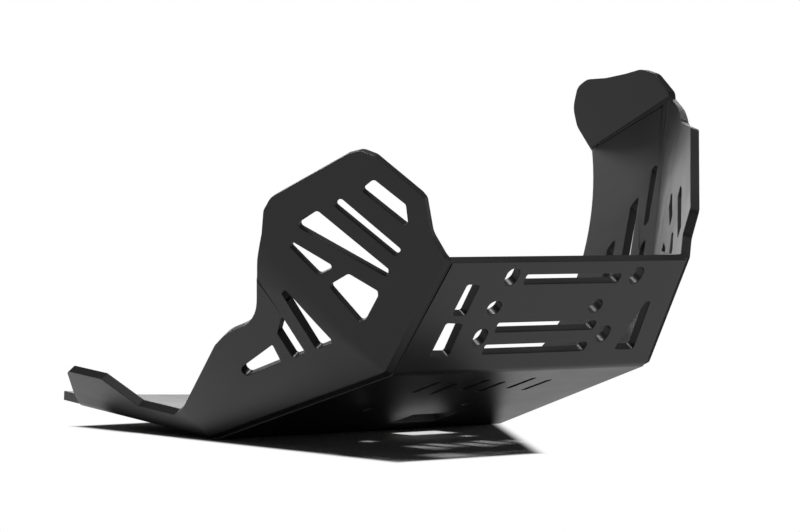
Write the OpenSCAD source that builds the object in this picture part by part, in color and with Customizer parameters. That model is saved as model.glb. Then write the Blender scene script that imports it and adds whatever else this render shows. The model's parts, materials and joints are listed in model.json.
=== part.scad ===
// Motorcycle skid plate: one sheet of tough plastic, cut to shape, drilled and folded.
// X runs across the motorcycle, Y to its rear and Z up. The origin is the middle of the
// fold under the engine, on the underside, where the plate hangs lowest.

/* [Sheet] */
// Thickness of the sheet
sheet_t = 8; // [5:0.5:10]

/* [Panels] */
// Width of the fold between the bottom and the front panel
front_w = 264; // [250:1:290]
// Width of the fold between the bottom and the tail
rear_w = 302; // [290:1:330]
// Width of the front panel along its top edge
lip_w = 242; // [236:1:262]
// Length of the bottom from its rear fold to its front fold
bottom_len = 218.5; // [200:0.5:250]
// Rise of the bottom towards the front, in degrees
bottom_rise = 16; // [10:0.5:20]
// Height of the front panel, measured up its slope
front_len = 105; // [102:1:120]
// Slope of the front panel, in degrees
front_rise = 55; // [50:1:60]
// Length of the tail behind the rear fold
tail_len = 268; // [255:1:290]
// Width of the tail at its rear end
tail_w = 283; // [276:1:290]
// Rise of the tail towards the rear, in degrees
tail_rise = 4; // [2:0.5:6]
// Step in from the fold to the tail's side edge, behind the flanges
tail_step = 7; // [3:0.5:10]
// Depth of the recess in the tail's rear edge
tail_recess = 62; // [45:1:80]

/* [Wings] */
// Sweep of the wings' soft fold back from straight sideways, in degrees
wing_sweep = 40; // [37:0.5:43]
// Rise of the wings' soft fold, in degrees
wing_rise = 41; // [38:0.5:44]
// Half the angle that the left wing's soft fold is spread over, in degrees
left_spread = 8; // [5:0.5:10]
// Half the angle that the right wing's soft fold is spread over, in degrees
right_spread = 3.2; // [3:0.1:6]
// Lean of the fold between a wing and the flange behind it, in degrees
flange_lean = 10; // [6:1:14]
// Length of the fold between a wing and the flange behind it
flange_fold_len = 36; // [32:1:40]
// Length of a flange, measured along the tail
flange_len = 222; // [215:1:235]
// Bend of the tab that caps the right wing, in degrees
tab_bend = 35; // [25:1:45]

/* [Folds] */
// Outer radius of the fold between the bottom and the front panel
front_fold_r = 12; // [8:1:20]
// Outer radius of the fold between the bottom and the tail
rear_fold_r = 24; // [12:1:40]
// Outer radius of the folds between the flanges and the tail
flange_fold_r = 12; // [8:1:16]
// Outer radius of the folds between the bottom or front panel and the wings
side_fold_r = 10; // [8:1:12]
// Width of the groove milled along each side fold
groove_w = 6; // [4:0.5:7]
// Depth of that groove below the sharp corner of the fold
groove_depth = 3; // [2.4:0.1:3.4]
// Diameter of the round pocket where the grooves meet at a front corner
corner_pocket_d = 7; // [6:0.5:10]
// Depth of that pocket below the sharp corner
corner_pocket_depth = 3.6; // [3.4:0.1:4.4]
// Width of the groove below the tab's fold
hinge_groove_w = 2; // [1.5:0.1:3]
// Depth of the groove below the tab's fold
hinge_groove_depth = 1.6; // [1:0.1:2.4]
// Length of the groove below the tab's fold
hinge_groove_len = 98; // [90:0.5:99]
// Distance from the rear end of the tab's fold to the groove
hinge_groove_start = 12; // [10:0.5:14]
// Distance of the groove's rear end below the tab's fold
hinge_groove_drop = 6; // [5:0.5:8]
// Angle between the groove and the tab's fold, in degrees
hinge_groove_turn = 2.6; // [0:0.2:4]
// Diameter of the round pocket at each end of that groove
hinge_pocket_d = 4; // [3.5:0.1:5]

/* [Front panel] */
// Diameter of the two bores for the engine guard bolts
bolt_d = 13; // [10:0.5:14]
// Place of the left bolt bore: across from the middle, then up from the fold
left_bolt = [-58, 62];
// Place of the right bolt bore
right_bolt = [44, 62];
// Width of the four long holes
long_hole_w = 12; // [10:0.5:13]
// Height of the four long holes
long_hole_h = 16; // [15:0.5:18]
// Places of the four long holes
long_holes = [[-54, 91], [72, 91], [-59, 34], [66, 34]];
// Height of a long slot
slot_h = 9; // [8:0.5:10]
// Radius of the corners at a long slot's left end, and at its right end
slot_r = [1.5, 3.5];
// Long slots: left end, right end, and the middle's height above the fold
slots = [[-40, 56, 88.5], [-47, 53, 43], [-50, 54, 22]];

/* [Bottom panel] */
// Number of slots in a row across the bottom
bottom_slots = 6; // [4:1:8]
// Length of a bottom slot
bottom_slot_len = 37; // [30:1:42]
// Width of a bottom slot
bottom_slot_w = 5; // [4:0.5:7]
// Distance from one bottom slot to the next
bottom_slot_step = 24; // [20:0.5:26]
// Distance from the front fold to the middle of the forward slots
bottom_slot_start = 48; // [44:1:56]
// Shift of every second slot towards the rear
bottom_slot_stagger = 10; // [0:1:14]
// Diameter of the two small holes in the bottom
bottom_hole_d = 9; // [7:0.5:11]
// Places of the two small holes: across, then back from the front fold
bottom_holes = [[-60, 126], [38, 123]];
// Size of the drain opening: across, then along
drain_size = [46, 32];
// Place of the drain opening's middle: across, then back from the front fold
drain_spot = [30, 172];

/* [Hidden] */
$fn = 96;

// Steps in a rounded corner, and in a long bow of an outline
arc_steps = 6;
bow_steps = 16;
// Reach of a cut past the surface that it leaves through
past = 2;
// Reach of the block that trims a soft fold
far = 400;

// Corners of the left side. The right side mirrors them.
front_corner = [-front_w / 2, -bottom_len * cos(bottom_rise), bottom_len * sin(bottom_rise)];
lip_corner = [-lip_w / 2, front_corner.y - front_len * cos(front_rise),
    front_corner.z + front_len * sin(front_rise)];
rear_corner = [-rear_w / 2, 0, 0];
tail_corner = [-tail_w / 2, tail_len * cos(tail_rise), tail_len * sin(tail_rise)];

// A point in the engine's space, which every panel's inner face looks at
inside = [0, 0, bottom_len / 2];

// Directions of the side folds and of a wing's soft fold
side_way = unit(rear_corner - front_corner);
lip_way = unit(lip_corner - front_corner);
wing_way = [-cos(wing_sweep) * cos(wing_rise), sin(wing_sweep) * cos(wing_rise), sin(wing_rise)];
side_len = norm(rear_corner - front_corner);
lip_len = norm(lip_corner - front_corner);

// Inward normals of the panels
bottom_in = [0, sin(bottom_rise), cos(bottom_rise)];
front_in = [0, sin(front_rise), cos(front_rise)];
tail_in = [0, -sin(tail_rise), cos(tail_rise)];
rear_panel_in = unit(cross(side_way, wing_way));
front_panel_in = unit(cross(wing_way, lip_way));

// The soft fold's angle in each wing panel, from the panel's fold at the sheet's side
rear_panel_angle = acos(side_way * wing_way);
front_panel_angle = acos(lip_way * wing_way);

// The fold between a wing and its flange
rear_panel_up = cross(rear_panel_in, side_way);
flange_fold_way = side_way * sin(flange_lean) + rear_panel_up * cos(flange_lean);
tail_way = unit(tail_corner - rear_corner);
flange_in = unit(cross(tail_way, flange_fold_way));
flange_angle = acos(tail_way * flange_fold_way);
flange_top = [side_len + flange_fold_len * sin(flange_lean), flange_fold_len * cos(flange_lean), 0];

// Outlines are lists of corners: along the panel's fold, out from the fold, corner radius.
// The left wing's top edge, from the flange forward to the soft fold
left_rear_edge = [[146, 74.4, 20], [126.4, 80.1, 60], [87.6, 80.1, 48]];
left_rear_reach = 124.2;
left_mid_reach = 133;
left_front_reach = 144;
left_front_edge = [[65, 142.5, 8], [77, 142, 10], [139, 105, 8], [147, 97, 8], [149, 86, 8], [141.5, 43, 6],
    [139.5, 38, 6], [lip_len + 12.5, 22, 20], [lip_len + 2.5, 6, 8]];

// Windows of the left wing, from the bottom rear one forward
left_rear_windows = [
    [[88.3, 57.3, 1], [92.2, 41.5, 2], [136.5, 41, 3.5], [138.5, 46.5, 3], [133.5, 49.5, 4]],
    [[58.8, 76, 1], [62.3, 41.2, 2], [77.8, 41.2, 2], [75.3, 64.5, 2]],
    [[38, 94.5, 1.5], [28.8, 44, 1.5], [31, 41, 1], [49.5, 40.6, 2.5], [43.5, 93, 1.5]],
];
left_front_windows = [
    [[56, 63, 3], [56, 37.5, 2], [52.5, 35.5, 2], [31, 35.5, 2], [26.5, 38.5, 2], [39, 72.5, 3]],
    [[55, 112, 2], [55, 78, 2], [52.5, 76, 2], [42, 83, 3], [50.5, 112, 1.5]],
    [[87.5, 106, 3], [76, 38, 2], [70, 35.5, 2], [68, 116, 3]],
    [[106, 95, 3], [95, 36, 2], [88, 38, 2], [98, 97, 2]],
    [[132.5, 79, 3], [128, 49, 3], [116, 41, 2], [113.5, 42, 2], [120, 84, 2]],
];

// The right wing's rear edge rises to the tab in one long bow.
right_bow = [[174, 91], [165, 187], [256, 318]];
right_foot = [185, 72, 10];
right_rear_reach = 362;
right_mid_reach = 326;
right_front_reach = 292;
right_front_edge = [[80, 266, 12], [109, 209, 30], [126, 45, 8], [lip_len + 2, 30, 8]];
right_rear_windows = [
    [[117, 242.5, 3], [107, 239.5, 2], [83.5, 171, 2], [87.5, 164, 2]],
    [[119.5, 211.5, 3], [72, 81, 2], [84.5, 76.5, 2], [127, 200.5, 3]],
    [[131.5, 169, 3], [104.5, 94, 2], [107, 74, 3], [138.5, 157, 3]],
    [[76.5, 153, 2], [50, 77, 2], [56, 71, 2], [78.5, 139, 2]],
];
right_front_windows = [
    [[61.5, 177, 2], [64.5, 166, 3], [70.5, 122, 2], [64.5, 110.5, 2], [56.5, 160, 3]],
    [[72.5, 96, 2], [77.5, 80, 3], [79.5, 46, 2], [69, 63, 2]],
    [[48.5, 113, 1], [54.5, 95, 2], [55.5, 85, 1], [43.5, 107.5, 1]],
    [[90, 141, 2], [94.5, 127, 3], [101, 54.5, 3], [93, 47, 2], [83.5, 131.5, 3]],
];

// The tab's outline, from the rear end of its fold round to the front end
tab_edge = [[-11, 29, 20], [-10, 48, 20], [3, 63.5, 12], [18, 64.5, 20], [43, 54.5, 40], [70, 46.5, 60],
    [91, 41.5, 20], [106, 30, 16], [118.5, 6, 8]];

// The flange's outline past the end of its fold with the wing
flange_edge = [[41, 20.5, 8], [100, 20.5, 4], [135, 45.5, 4], [flange_len - 30, 45.5, 4],
    [flange_len - 25, 43, 3], [flange_len - 7, 17, 10], [flange_len - 2, 5, 6], [flange_len, 0, 0]];

// The recess in the tail's rear edge: for each corner its distance in from the tail's side, its share
// of the recess's depth, and its radius
tail_edge = [[54, 0.7, 40], [102, 0.95, 60]];

// Small windows at the sides of the front panel
front_windows = [
    [[-94, 84.5, 2], [-82, 84, 2], [-83, 55.5, 2], [-96, 56, 2]],
    [[-98, 48.5, 2], [-82, 47.5, 2], [-82, 17, 2], [-100, 17.5, 2]],
    [[95.5, 65, 2], [100, 65, 2], [106, 17.5, 2], [85.5, 18, 2]],
];

function unit(v) = v / norm(v);
function flat(p) = [p.x, p.y];
function turned(v, a) = [v.x * cos(a) - v.y * sin(a), v.x * sin(a) + v.y * cos(a)];
function polar(reach, angle) = [reach * cos(angle), reach * sin(angle), 0];

// Arc that rounds the corner b of an outline with b's own radius
function corner_arc(a, b, c) =
    let (
        to_a = unit(flat(a) - flat(b)),
        to_c = unit(flat(c) - flat(b)),
        half = acos(to_a * to_c) / 2,
        centre = flat(b) + unit(to_a + to_c) * b.z / sin(half),
        start = flat(b) + to_a * b.z / tan(half) - centre,
        side = sign(to_c.x * to_a.y - to_c.y * to_a.x),
        turn = side * (180 - 2 * half)
    )
    [for (i = [0 : arc_steps]) centre + turned(start, turn * i / arc_steps)];

// Outline with each corner rounded by its own radius, and left sharp where that is 0
function rounded(corners) =
    let (n = len(corners))
    [for (i = [0 : n - 1])
        each corners[i].z > 0
            ? corner_arc(corners[(i + n - 1) % n], corners[i], corners[(i + 1) % n])
            : [flat(corners[i])]];

// Smooth bow from the first point to the third, which leaves and arrives by way of the second
function bow(ends) =
    [for (i = [0 : bow_steps])
        let (s = i / bow_steps)
        concat(ends[0] * (1 - s) ^ 2 + ends[1] * 2 * s * (1 - s) + ends[2] * s ^ 2, [0])];

// Sets a shape at a point, with its X and Z axes along two directions
module place(origin, x, z) {
    y = cross(z, x);
    multmatrix([
        [x.x, y.x, z.x, origin.x],
        [x.y, y.y, z.y, origin.y],
        [x.z, y.z, z.z, origin.z],
        [0, 0, 0, 1],
    ])
    children();
}

// One flat panel: its outline is drawn from start, along the fold to end and out towards side.
// The sheet's thickness lies on the engine's side.
module panel(start, end, side, outline) {
    x = unit(end - start);
    z = unit(cross(x, side));
    inward = z * (inside - start) > 0;
    place(start, x, z)
    translate([0, 0, inward ? 0 : -sheet_t])
    linear_extrude(sheet_t)
    difference() {
        polygon(rounded(outline));
        children();
    }
}

module windows(outlines) {
    for (outline = outlines)
        polygon(rounded(outline));
}

// Slot with round ends, centred, with its length along X
module round_slot(length, width) {
    square([length - width, width], center = true);
    for (side = [-1, 1])
        translate([side * (length - width) / 2, 0])
        circle(d = width);
}

module bottom_panel() {
    middle = [0, front_corner.y, front_corner.z];
    panel(middle, middle + [1, 0, 0], -middle, [
        [-front_w / 2, 0, 0],
        [front_w / 2, 0, 0],
        [rear_w / 2, bottom_len, 0],
        [-rear_w / 2, bottom_len, 0],
    ]) {
        for (i = [0 : bottom_slots - 1]) {
            across = (i - (bottom_slots - 1) / 2) * bottom_slot_step;
            translate([across, bottom_slot_start + i % 2 * bottom_slot_stagger])
            rotate(90)
            round_slot(bottom_slot_len, bottom_slot_w);
        }
        for (spot = bottom_holes)
            translate(spot)
            circle(d = bottom_hole_d);
        translate(drain_spot)
        square(drain_size, center = true);
    }
}

function slot_outline(slot) =
    let (low = slot[2] - slot_h / 2, high = slot[2] + slot_h / 2)
    [
        [slot[0], low, slot_r[0]],
        [slot[1], low, slot_r[1]],
        [slot[1], high, slot_r[1]],
        [slot[0], high, slot_r[0]],
    ];

module front_panel() {
    middle = [0, front_corner.y, front_corner.z];
    lip_middle = [0, lip_corner.y, lip_corner.z];
    panel(middle, middle + [1, 0, 0], lip_middle - middle, [
        [-front_w / 2, 0, 0],
        [front_w / 2, 0, 0],
        [lip_w / 2, front_len, 0],
        [-lip_w / 2, front_len, 0],
    ]) {
        for (spot = [left_bolt, right_bolt])
            translate(spot)
            circle(d = bolt_d);
        for (spot = long_holes)
            translate(spot)
            rotate(90)
            round_slot(long_hole_h, long_hole_w);
        windows([for (slot = slots) slot_outline(slot)]);
        windows(front_windows);
    }
}

// Half the tail's width between the flanges, at a distance behind the rear fold
function side_x(back) = rear_w / 2 + (tail_w - rear_w) / 2 * back / tail_len;

module tail() {
    step = flange_len + tail_step;
    side = side_x(flange_len);
    end = tail_w / 2 - tail_step;
    right = concat(
        [[rear_w / 2, 0, 0], [side, flange_len, 0], [side - tail_step, step, 4], [end, tail_len, 2]],
        [for (p = tail_edge) [tail_w / 2 - p.x, tail_len - tail_recess * p.y, p.z]]
    );
    left = [for (i = [len(right) - 1 : -1 : 0]) [-right[i].x, right[i].y, right[i].z]];
    panel([0, 0, 0], [1, 0, 0], [0, cos(tail_rise), sin(tail_rise)], concat(right, left));
}

module flange() {
    panel(rear_corner, tail_corner, flange_fold_way, concat(
        [[0, 0, 0], polar(flange_fold_len, flange_angle)],
        flange_edge
    ));
}

// The wing panel beside the bottom, and the one beside the front panel
module rear_wing_panel(top_edge, reach, spread) {
    panel(front_corner, rear_corner, wing_way, concat(
        [[0, 0, 0], [side_len, 0, 0], flange_top],
        top_edge,
        [polar(reach, rear_panel_angle - spread)]
    ))
    children();
}

module front_wing_panel(top_edge, reach, spread) {
    panel(front_corner, lip_corner, wing_way, concat(
        [[0, 0, 0], polar(reach, front_panel_angle - spread)],
        top_edge,
        [[lip_len, 0, 0]]
    ))
    children();
}

// The bend between a wing's two panels is part of a cone that has its tip at the front corner.
// Its outer edge runs from the rear panel's end over the middle to the front panel's end.
module soft_fold(spread, rear_reach, mid_reach, front_reach) {
    half = acos(rear_panel_in * front_panel_in) / 2;
    tilt = atan(tan(spread) / sin(half));
    slope = asin(sin(tilt) * cos(half));
    sweep = asin(sin(half) / cos(slope));
    inward = unit(rear_panel_in + front_panel_in);
    axis = cos(tilt) * wing_way + sin(tilt) * inward;
    outward = sin(tilt) * wing_way - cos(tilt) * inward;
    length = max(rear_reach, mid_reach, front_reach) + sheet_t;
    mid_way = sin(slope) * outward + cos(slope) * axis;
    rear_end = front_corner + on_wing(side_way, rear_panel_up, polar(rear_reach, rear_panel_angle - spread));
    front_up = cross(lip_way, front_panel_in);
    front_end = front_corner + on_wing(lip_way, front_up, polar(front_reach, front_panel_angle - spread));
    middle = front_corner + mid_reach * mid_way;
    difference() {
        place(front_corner, outward, axis)
        rotate(-sweep)
        rotate_extrude(angle = 2 * sweep)
        polygon([
            [0, 0],
            length * [sin(slope), cos(slope)],
            length * [sin(slope), cos(slope)] + sheet_t * [-cos(slope), sin(slope)],
            [0, sheet_t / sin(slope)],
        ]);
        trim(rear_end, middle, inward);
        trim(middle, front_end, inward);
    }
}

// Block that takes away what lies beyond the edge from a to b
module trim(a, b, inward) {
    along = unit(b - a);
    place(a, along, unit(cross(along, cross(inward, along))))
    translate([-far / 2, -far, -far / 2])
    cube(far);
}

// Point of a wing panel, from the panel's own directions
function on_wing(x, y, p) = x * p.x + y * p.y;

// The left wing's foremost rear window runs on into the soft fold.
module left_wing() {
    difference() {
        union() {
            rear_wing_panel(left_rear_edge, left_rear_reach, left_spread);
            front_wing_panel(left_front_edge, left_front_reach, left_spread)
            windows(left_front_windows);
            soft_fold(left_spread, left_rear_reach, left_mid_reach, left_front_reach);
        }
        place(front_corner, side_way, rear_panel_in)
        linear_extrude(4 * sheet_t, center = true)
        windows(left_rear_windows);
    }
}

// The right wing is drawn on the left and mirrored.
module right_wing() {
    rear_edge = concat([right_foot], bow(right_bow));
    difference() {
        rear_wing_panel(rear_edge, right_rear_reach, right_spread) windows(right_rear_windows);
        hinge_groove();
    }
    front_wing_panel(right_front_edge, right_front_reach, right_spread) windows(right_front_windows);
    soft_fold(right_spread, right_rear_reach, right_mid_reach, right_front_reach);
    tab();
}

// The tab folds inward at the top of the right wing.
hinge_rear = front_corner + on_wing(side_way, rear_panel_up, right_bow[2]);
hinge_end = polar(right_rear_reach, rear_panel_angle - right_spread);
hinge_front = front_corner + on_wing(side_way, rear_panel_up, hinge_end);
hinge_way = unit(hinge_front - hinge_rear);
hinge_up = cross(hinge_way, rear_panel_in);
tab_way = cos(tab_bend) * hinge_up + sin(tab_bend) * rear_panel_in;

module tab() {
    panel(hinge_rear, hinge_front, tab_way, concat(
        [[norm(hinge_front - hinge_rear), 0, 0], [0, 0, 0]],
        tab_edge
    ));
}

// Groove in the inner face of the wing panel, just below the tab's fold
module hinge_groove() {
    place(hinge_rear, hinge_way, rear_panel_in)
    translate([hinge_groove_start, hinge_groove_drop, sheet_t - hinge_groove_depth])
    rotate(hinge_groove_turn)
    linear_extrude(hinge_groove_depth + past) {
        translate([0, -hinge_groove_w / 2])
        square([hinge_groove_len, hinge_groove_w]);
        for (end = [0, hinge_groove_len])
            translate([end, 0])
            circle(d = hinge_pocket_d);
    }
}

// Cut that rounds a fold from a to b, between panels with these inward normals
module fold_round(a, b, in_a, in_b, radius) {
    half = acos(in_a * in_b) / 2;
    place(a, unit(b - a), unit(in_a + in_b))
    rotate([90, 0, 90])
    translate([0, 0, -past])
    linear_extrude(norm(b - a) + 2 * past)
    difference() {
        translate([-radius * sin(half), -past])
        square([2 * radius * sin(half), past + radius * sin(half) * tan(half)]);
        translate([0, radius / cos(half)])
        circle(radius);
    }
}

// Groove along a side fold from a to b
module side_groove(a, b, in_a, in_b) {
    length = norm(b - a);
    place(a, unit(b - a), unit(in_a + in_b))
    translate([length / 2, 0, -past])
    linear_extrude(groove_depth + past)
    round_slot(length + groove_w / 2, groove_w);
}

// Round pocket where the grooves meet at a front corner
module corner_pocket() {
    inward = unit(bottom_in + front_in + rear_panel_in + front_panel_in);
    place(front_corner, unit(cross(inward, lip_way)), inward)
    translate([0, 0, -2 * past])
    cylinder(h = 2 * past + corner_pocket_depth, d = corner_pocket_d);
}

module both_sides() {
    children();
    mirror([1, 0, 0])
    children();
}

module skid_plate() {
    color("#1b1b1d")
    difference() {
        union() {
            bottom_panel();
            front_panel();
            tail();
            both_sides() flange();
            left_wing();
            mirror([1, 0, 0]) right_wing();
        }
        fold_round(front_corner, front_corner + [front_w, 0, 0], bottom_in, front_in, front_fold_r);
        fold_round(rear_corner, -rear_corner, bottom_in, tail_in, rear_fold_r);
        both_sides() {
            fold_round(rear_corner, tail_corner, tail_in, flange_in, flange_fold_r);
            fold_round(front_corner, rear_corner, bottom_in, rear_panel_in, side_fold_r);
            fold_round(front_corner, lip_corner, front_in, front_panel_in, side_fold_r);
            side_groove(front_corner, rear_corner, bottom_in, rear_panel_in);
            side_groove(front_corner, lip_corner, front_in, front_panel_in);
            corner_pocket();
        }
    }
}

skid_plate();
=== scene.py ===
import math

import bpy
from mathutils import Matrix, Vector
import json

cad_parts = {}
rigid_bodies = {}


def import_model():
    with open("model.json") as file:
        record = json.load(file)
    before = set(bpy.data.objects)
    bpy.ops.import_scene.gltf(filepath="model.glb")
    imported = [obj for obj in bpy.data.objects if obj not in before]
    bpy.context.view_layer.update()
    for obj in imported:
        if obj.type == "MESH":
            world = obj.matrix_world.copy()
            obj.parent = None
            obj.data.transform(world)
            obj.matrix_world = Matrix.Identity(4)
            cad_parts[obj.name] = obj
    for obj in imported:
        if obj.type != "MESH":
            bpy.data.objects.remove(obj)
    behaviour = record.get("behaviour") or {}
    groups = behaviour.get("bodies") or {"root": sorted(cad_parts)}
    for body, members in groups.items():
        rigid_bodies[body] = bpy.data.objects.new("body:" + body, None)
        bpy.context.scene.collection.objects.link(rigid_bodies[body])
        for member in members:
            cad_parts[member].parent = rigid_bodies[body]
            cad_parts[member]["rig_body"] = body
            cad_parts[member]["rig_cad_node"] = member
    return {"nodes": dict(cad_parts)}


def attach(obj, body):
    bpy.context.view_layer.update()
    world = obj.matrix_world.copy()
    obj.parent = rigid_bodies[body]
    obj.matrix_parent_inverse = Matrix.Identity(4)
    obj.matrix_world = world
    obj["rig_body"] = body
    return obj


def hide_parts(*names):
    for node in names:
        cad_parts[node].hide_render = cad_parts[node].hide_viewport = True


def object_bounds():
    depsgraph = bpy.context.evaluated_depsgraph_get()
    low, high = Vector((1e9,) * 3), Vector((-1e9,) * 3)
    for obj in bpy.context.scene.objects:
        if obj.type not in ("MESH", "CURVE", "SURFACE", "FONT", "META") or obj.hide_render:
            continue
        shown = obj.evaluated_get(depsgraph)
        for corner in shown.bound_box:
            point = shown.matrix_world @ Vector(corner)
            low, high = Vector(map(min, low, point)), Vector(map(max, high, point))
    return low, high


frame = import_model()
cad_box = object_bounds()
bpy.ops.object.select_all(action="DESELECT")


# The plate is one sheet of tough black plastic, 8 mm thick. It is sawn, drilled and grooved flat,
# is bent hot along its folds, and is bolted under the engine by two holes of its front panel. A
# router bit breaks all its cut edges.
WELD_WITHIN = 0.00001
SLIVER_UNDER = 0.00006
FLAT_WITHIN = math.radians(0.2)
RIGHT_SIDE_FROM = 0.135
EDGE_BREAK = 0.0005
SHARP_FROM = math.radians(24)

# A copy of the folded sheet is worked on, without the marks of the sheet's own node
sheet = frame["nodes"]["skid_plate"]
sheet.select_set(True)
bpy.context.view_layer.objects.active = sheet
bpy.ops.object.duplicate()
plate = bpy.context.object
plate.name = "plate"
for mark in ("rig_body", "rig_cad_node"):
    del plate[mark]
bpy.ops.object.parent_clear(type="CLEAR_KEEP_TRANSFORM")

# The loose triangles are merged into one skin, and slivers are closed
bpy.ops.object.mode_set(mode="EDIT")
bpy.ops.mesh.select_all(action="SELECT")
bpy.ops.mesh.remove_doubles(threshold=WELD_WITHIN)
bpy.ops.mesh.dissolve_degenerate(threshold=SLIVER_UNDER)
bpy.ops.mesh.select_all(action="SELECT")
bpy.ops.mesh.quads_convert_to_tris()
bpy.ops.mesh.normals_make_consistent(inside=False)
bpy.ops.mesh.select_mode(type="FACE")
bpy.ops.object.mode_set(mode="OBJECT")

# Flat areas become single faces, but not on the right side, where the tall wing's long triangles
# shade better as they are
for face in plate.data.polygons:
    face.select = face.center.x < RIGHT_SIDE_FROM
bpy.ops.object.mode_set(mode="EDIT")
bpy.ops.mesh.dissolve_limited(angle_limit=FLAT_WITHIN)
bpy.ops.object.mode_set(mode="OBJECT")

edge_break = plate.modifiers.new("edge_break", "BEVEL")
edge_break.width = EDGE_BREAK
edge_break.segments = 2
edge_break.limit_method = "ANGLE"
edge_break.angle_limit = SHARP_FROM
edge_break.use_clamp_overlap = False
bpy.ops.object.modifier_apply(modifier="edge_break")
bpy.ops.object.shade_smooth_by_angle(angle=SHARP_FROM)
flat_faces = plate.modifiers.new("flat_faces", "WEIGHTED_NORMAL")
flat_faces.weight = 100
flat_faces.keep_sharp = True
bpy.ops.object.modifier_apply(modifier="flat_faces")

# The plastic is dyed through, so cut edges are as black as faces. Pressing leaves a fine satin
# grain, and a faint cloudiness that shows in both its tint and its sheen.
PLASTIC_IOR = 1.4
PLASTIC_BLACK = (0.0105, 0.0103, 0.0102, 1.0)
PLASTIC_CLOUD = (0.0175, 0.017, 0.0165, 1.0)
CLOUD_SCALE = 7.0
SMOOTHEST = 0.36
ROUGHEST = 0.46
GRAIN_SCALE = 900.0
GRAIN_DEPTH = 0.0002
GRAIN_STRENGTH = 0.12

plastic = bpy.data.materials.new("pressed_black_plastic")
plastic.use_nodes = True
nodes = plastic.node_tree.nodes
links = plastic.node_tree.links
shader = nodes["Principled BSDF"]
shader.inputs["IOR"].default_value = PLASTIC_IOR
place = nodes.new("ShaderNodeTexCoord")

cloud = nodes.new("ShaderNodeTexNoise")
cloud.inputs["Scale"].default_value = CLOUD_SCALE
cloud.inputs["Detail"].default_value = 4.0
cloud.inputs["Roughness"].default_value = 0.55
cloud.inputs["Distortion"].default_value = 0.8
links.new(place.outputs["Object"], cloud.inputs["Vector"])

tint = nodes.new("ShaderNodeValToRGB")
tint.color_ramp.elements[0].position = 0.35
tint.color_ramp.elements[0].color = PLASTIC_BLACK
tint.color_ramp.elements[1].position = 0.7
tint.color_ramp.elements[1].color = PLASTIC_CLOUD
links.new(cloud.outputs["Fac"], tint.inputs["Fac"])
links.new(tint.outputs["Color"], shader.inputs["Base Color"])

sheen = nodes.new("ShaderNodeMapRange")
sheen.inputs["From Min"].default_value = 0.3
sheen.inputs["From Max"].default_value = 0.7
sheen.inputs["To Min"].default_value = SMOOTHEST
sheen.inputs["To Max"].default_value = ROUGHEST
links.new(cloud.outputs["Fac"], sheen.inputs["Value"])
links.new(sheen.outputs["Result"], shader.inputs["Roughness"])

grain = nodes.new("ShaderNodeTexNoise")
grain.inputs["Scale"].default_value = GRAIN_SCALE
grain.inputs["Detail"].default_value = 2.0
links.new(place.outputs["Object"], grain.inputs["Vector"])
relief = nodes.new("ShaderNodeBump")
relief.inputs["Strength"].default_value = GRAIN_STRENGTH
relief.inputs["Distance"].default_value = GRAIN_DEPTH
links.new(grain.outputs["Fac"], relief.inputs["Height"])
links.new(relief.outputs["Normal"], shader.inputs["Normal"])

plate.data.materials.clear()
plate.data.materials.append(plastic)
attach(plate, "root")
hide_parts("skid_plate")


# The plate stands on a plain table top, painted matt white. The table keeps the shadow under the
# plate, and away from that it is the same white as the backdrop.
TABLE_HALF = 40.0
TABLE_GAP = 0.0002
TABLE_PAINT = (0.9, 0.9, 0.9, 1.0)
BACKDROP_WHITE = (1.0, 1.0, 1.0, 1.0)
SHADOW_FADE = 0.014
# Sides of the shadow under the plate: a point on each side, and the way out of the shadow there
SHADOW_SIDES = [
    ((-0.163, 0.0), (-1.0, 0.0)),
    ((0.0, -0.262), (0.0, -1.0)),
    ((0.136, -0.014), (0.837, -0.548)),
    ((0.0, 0.2), (0.0, 1.0)),
]


def combined(tree, operation, first, second):
    """Makes one value of two in a material or a world."""
    step = tree.nodes.new("ShaderNodeMath")
    step.operation = operation
    tree.links.new(first, step.inputs[0])
    tree.links.new(second, step.inputs[1])
    return step.outputs["Value"]


bpy.ops.object.select_all(action="DESELECT")
lowest = cad_box[0].z
bpy.ops.mesh.primitive_plane_add(size=2 * TABLE_HALF, location=(0, 0, lowest - TABLE_GAP))
floor = bpy.context.object
floor.name = "floor"

table = bpy.data.materials.new("white_table")
table.use_nodes = True
nodes = table.node_tree.nodes
links = table.node_tree.links
nodes.clear()
place = nodes.new("ShaderNodeTexCoord")
ways_out = []
for (x, y), way in SHADOW_SIDES:
    reach = nodes.new("ShaderNodeVectorMath")
    reach.operation = "SUBTRACT"
    links.new(place.outputs["Object"], reach.inputs[0])
    reach.inputs[1].default_value = (x, y, 0)
    beyond = nodes.new("ShaderNodeVectorMath")
    beyond.operation = "DOT_PRODUCT"
    links.new(reach.outputs["Vector"], beyond.inputs[0])
    beyond.inputs[1].default_value = (*way, 0)
    ways_out.append(beyond.outputs["Value"])
outside = ways_out[0]
for way_out in ways_out[1:]:
    outside = combined(table.node_tree, "MAXIMUM", outside, way_out)
fade = nodes.new("ShaderNodeMapRange")
fade.interpolation_type = "SMOOTHSTEP"
fade.inputs["From Min"].default_value = -SHADOW_FADE / 2
fade.inputs["From Max"].default_value = SHADOW_FADE / 2
links.new(outside, fade.inputs["Value"])

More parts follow.
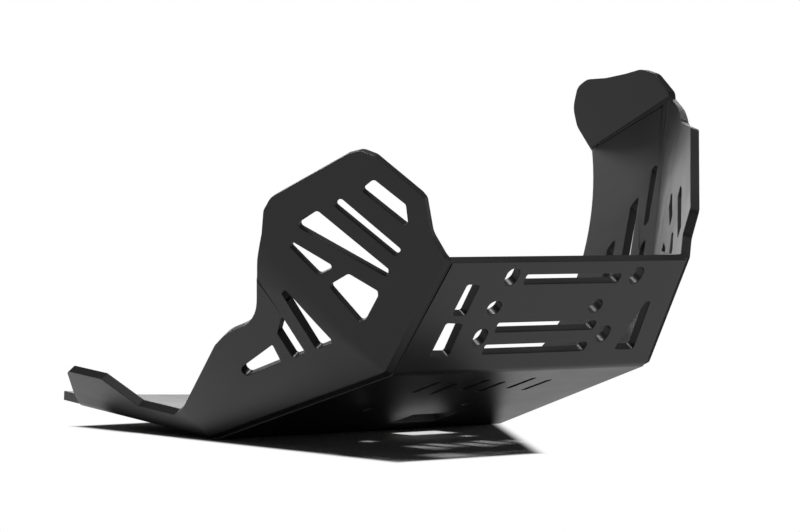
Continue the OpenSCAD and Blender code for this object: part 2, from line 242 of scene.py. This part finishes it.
# The paint gives way to the backdrop's white outside the shadow, for the camera and in reflections
ray = nodes.new("ShaderNodeLightPath").outputs
mirrored = combined(table.node_tree, "MAXIMUM", ray["Is Glossy Ray"], ray["Is Transmission Ray"])
seen = combined(table.node_tree, "MAXIMUM", ray["Is Camera Ray"], mirrored)
share = combined(table.node_tree, "MULTIPLY", seen, fade.outputs["Result"])
matte = nodes.new("ShaderNodeBsdfDiffuse")
matte.inputs["Color"].default_value = TABLE_PAINT
white = nodes.new("ShaderNodeEmission")
white.inputs["Color"].default_value = BACKDROP_WHITE
white.inputs["Strength"].default_value = 1.0
blend = nodes.new("ShaderNodeMixShader")
links.new(share, blend.inputs["Fac"])
links.new(matte.outputs["BSDF"], blend.inputs[1])
links.new(white.outputs["Emission"], blend.inputs[2])
surface = nodes.new("ShaderNodeOutputMaterial")
links.new(blend.outputs["Shader"], surface.inputs["Surface"])
floor.data.materials.append(table)


# One softbox hangs straight above the table, and a low one stands far behind the plate and gives
# the sheen on the tall wing and on the tail. A white paper backdrop goes all round, and it ends
# low, under a dim ceiling.
def softbox(name, spot, aim, size, watts):
    bpy.ops.object.light_add(type="AREA", location=spot)
    lamp = bpy.context.object
    lamp.name = name
    lamp.data.shape = "RECTANGLE"
    lamp.data.size, lamp.data.size_y = size
    lamp.data.energy = watts
    lamp.rotation_euler = (Vector(aim) - Vector(spot)).to_track_quat("-Z", "Y").to_euler()
    lamp.visible_camera = False


softbox("overhead_softbox", spot=(0.0, -0.05, 2.4), aim=(0, -0.05, 0), size=(0.8, 0.8), watts=44)
softbox("rear_softbox", spot=(1.55, 1.87, 0.72), aim=(0, 0, 0.1), size=(1.7, 0.9), watts=12)

CEILING_WHITE = 0.12
ROOM_LIGHT = 0.012
# Heights of a direction, as its sine, where the backdrop is still white and where it has ended
BACKDROP_WHITE_TO = 0.02
BACKDROP_ENDS_AT = 0.4

room = bpy.data.worlds.new("studio")
bpy.context.scene.world = room
room.use_nodes = True
nodes = room.node_tree.nodes
links = room.node_tree.links
nodes.clear()
place = nodes.new("ShaderNodeTexCoord")
direction = nodes.new("ShaderNodeSeparateXYZ")
links.new(place.outputs["Generated"], direction.inputs["Vector"])
screen = nodes.new("ShaderNodeMapRange")
screen.interpolation_type = "SMOOTHSTEP"
screen.inputs["From Min"].default_value = BACKDROP_WHITE_TO
screen.inputs["From Max"].default_value = BACKDROP_ENDS_AT
screen.inputs["To Min"].default_value = 1.0
screen.inputs["To Max"].default_value = CEILING_WHITE
links.new(direction.outputs["Z"], screen.inputs["Value"])

# The camera sees white, reflections show the backdrop, and little other light comes from the room
ray = nodes.new("ShaderNodeLightPath").outputs
mirrored = combined(room.node_tree, "MAXIMUM", ray["Is Glossy Ray"], ray["Is Transmission Ray"])
reflected = combined(room.node_tree, "MULTIPLY", mirrored, screen.outputs["Result"])
seen = combined(room.node_tree, "MAXIMUM", ray["Is Camera Ray"], reflected)
level = nodes.new("ShaderNodeMath")
level.operation = "MAXIMUM"
links.new(seen, level.inputs[0])
level.inputs[1].default_value = ROOM_LIGHT
backdrop = nodes.new("ShaderNodeBackground")
backdrop.inputs["Color"].default_value = BACKDROP_WHITE
links.new(level.outputs["Value"], backdrop.inputs["Strength"])
surroundings = nodes.new("ShaderNodeOutputWorld")
links.new(backdrop.outputs["Background"], surroundings.inputs["Surface"])
bpy.context.scene.view_settings.view_transform = "Standard"


# The camera has a long lens and looks at the plate's front left corner from just above the table,
# almost level, so that the panels' parallel lines stay nearly parallel.
CAMERA_SPOT = (-1.4479, -1.9569, 0.1806)
CAMERA_PITCH = math.radians(89.024)
CAMERA_HEADING = math.radians(-37.22)

bpy.ops.object.camera_add(location=CAMERA_SPOT, rotation=(CAMERA_PITCH, 0, CAMERA_HEADING))
camera = bpy.context.object
camera.name = "camera"
camera.data.sensor_width = 36.0
camera.data.lens = 130.5
bpy.context.scene.camera = camera
